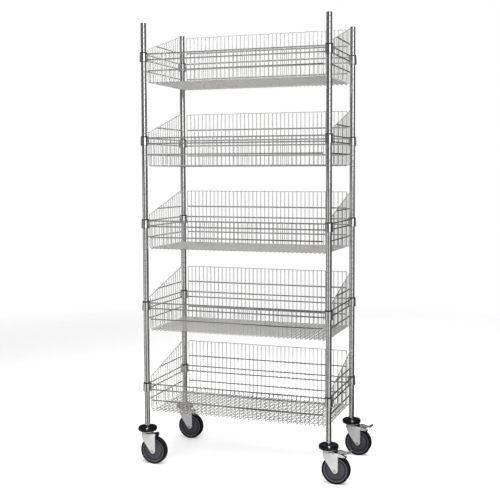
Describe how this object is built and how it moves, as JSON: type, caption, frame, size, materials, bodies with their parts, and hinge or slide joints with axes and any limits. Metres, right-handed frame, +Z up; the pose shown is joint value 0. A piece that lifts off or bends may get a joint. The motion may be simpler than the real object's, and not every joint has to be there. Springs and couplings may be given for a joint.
{
  "type": "wire basket shelving rack",
  "caption": "Mobile rack of chrome wire baskets with tall backs and low fronts, clamped on four grooved round posts with swivel casters, two of them braked.",
  "frame": {"origin": "on the floor, below the centre of the bounding box of the rack at rest, with all casters trailing towards +X", "axes": "+Z up along the posts, -Y towards the low fronts of the baskets, +X towards the braked casters"},
  "size_m": [1.026, 0.508, 2.0376],
  "materials": {
    "chrome": "bright chrome plate",
    "zinc_steel": "bright zinc plated pressed steel",
    "sleeve_plastic": "black moulded plastic",
    "bumper_rubber": "black soft rubber",
    "wheel_core": "dark grey moulded plastic",
    "tyre_rubber": "black rubber tread"
  },
  "bodies": {
    "rack": {"post_fl": "chrome", "post_fr": "chrome", "post_bl": "chrome", "post_br": "chrome", "post_cap_fl": "chrome", "post_cap_fr": "chrome", "post_cap_bl": "chrome", "post_cap_br": "chrome", "basket_1": "chrome", "basket_2": "chrome", "basket_3": "chrome", "basket_4": "chrome", "basket_5": "chrome", "sleeve_1_fl": "sleeve_plastic", "sleeve_1_fr": "sleeve_plastic", "sleeve_1_bl": "sleeve_plastic", "sleeve_1_br": "sleeve_plastic", "sleeve_2_fl": "sleeve_plastic", "sleeve_2_fr": "sleeve_plastic", "sleeve_2_bl": "sleeve_plastic", "sleeve_2_br": "sleeve_plastic", "sleeve_3_fl": "sleeve_plastic", "sleeve_3_fr": "sleeve_plastic", "sleeve_3_bl": "sleeve_plastic", "sleeve_3_br": "sleeve_plastic", "sleeve_4_fl": "sleeve_plastic", "sleeve_4_fr": "sleeve_plastic", "sleeve_4_bl": "sleeve_plastic", "sleeve_4_br": "sleeve_plastic", "sleeve_5_fl": "sleeve_plastic", "sleeve_5_fr": "sleeve_plastic", "sleeve_5_bl": "sleeve_plastic", "sleeve_5_br": "sleeve_plastic", "bumper_fl": "bumper_rubber", "bumper_fr": "bumper_rubber", "bumper_bl": "bumper_rubber", "bumper_br": "bumper_rubber", "caster_stem_fl": "zinc_steel", "caster_stem_fr": "zinc_steel", "caster_stem_bl": "zinc_steel", "caster_stem_br": "zinc_steel"},
    "swivel_fl": {"caster_fork_fl": "zinc_steel", "caster_axle_fl": "zinc_steel"},
    "wheel_fl": {"caster_wheel_fl": "wheel_core", "caster_tyre_fl": "tyre_rubber"},
    "swivel_fr": {"caster_fork_fr": "zinc_steel", "caster_axle_fr": "zinc_steel"},
    "wheel_fr": {"caster_wheel_fr": "wheel_core", "caster_tyre_fr": "tyre_rubber"},
    "swivel_bl": {"caster_fork_bl": "zinc_steel", "caster_axle_bl": "zinc_steel"},
    "wheel_bl": {"caster_wheel_bl": "wheel_core", "caster_tyre_bl": "tyre_rubber"},
    "swivel_br": {"caster_fork_br": "zinc_steel", "caster_axle_br": "zinc_steel"},
    "wheel_br": {"caster_wheel_br": "wheel_core", "caster_tyre_br": "tyre_rubber"},
    "pedal_fr": {"brake_pedal_fr": "zinc_steel"},
    "pedal_br": {"brake_pedal_br": "zinc_steel"}
  },
  "joints": [
    {"name": "swivel_fl_turn", "type": "hinge", "parent": "rack", "child": "swivel_fl", "pos_m": [-0.469, -0.21, 0.146], "axis": [0, 0, 1], "continuous": true},
    {"name": "wheel_fl_roll", "type": "hinge", "parent": "swivel_fl", "child": "wheel_fl", "pos_m": [-0.435, -0.21, 0.0635], "axis": [0, 1, 0], "continuous": true},
    {"name": "swivel_fr_turn", "type": "hinge", "parent": "rack", "child": "swivel_fr", "pos_m": [0.408, -0.21, 0.146], "axis": [0, 0, 1], "continuous": true},
    {"name": "wheel_fr_roll", "type": "hinge", "parent": "swivel_fr", "child": "wheel_fr", "pos_m": [0.442, -0.21, 0.0635], "axis": [0, 1, 0], "continuous": true},
    {"name": "swivel_bl_turn", "type": "hinge", "parent": "rack", "child": "swivel_bl", "pos_m": [-0.469, 0.21, 0.146], "axis": [0, 0, 1], "continuous": true},
    {"name": "wheel_bl_roll", "type": "hinge", "parent": "swivel_bl", "child": "wheel_bl", "pos_m": [-0.435, 0.21, 0.0635], "axis": [0, 1, 0], "continuous": true},
    {"name": "swivel_br_turn", "type": "hinge", "parent": "rack", "child": "swivel_br", "pos_m": [0.408, 0.21, 0.146], "axis": [0, 0, 1], "continuous": true},
    {"name": "wheel_br_roll", "type": "hinge", "parent": "swivel_br", "child": "wheel_br", "pos_m": [0.442, 0.21, 0.0635], "axis": [0, 1, 0], "continuous": true},
    {"name": "brake_fr_press", "type": "hinge", "parent": "swivel_fr", "child": "pedal_fr", "pos_m": [0.46, -0.21, 0.1318], "axis": [0, 1, 0], "range_deg": [0, 12]},
    {"name": "brake_br_press", "type": "hinge", "parent": "swivel_br", "child": "pedal_br", "pos_m": [0.46, 0.21, 0.1318], "axis": [0, 1, 0], "range_deg": [0, 12]}
  ]
}
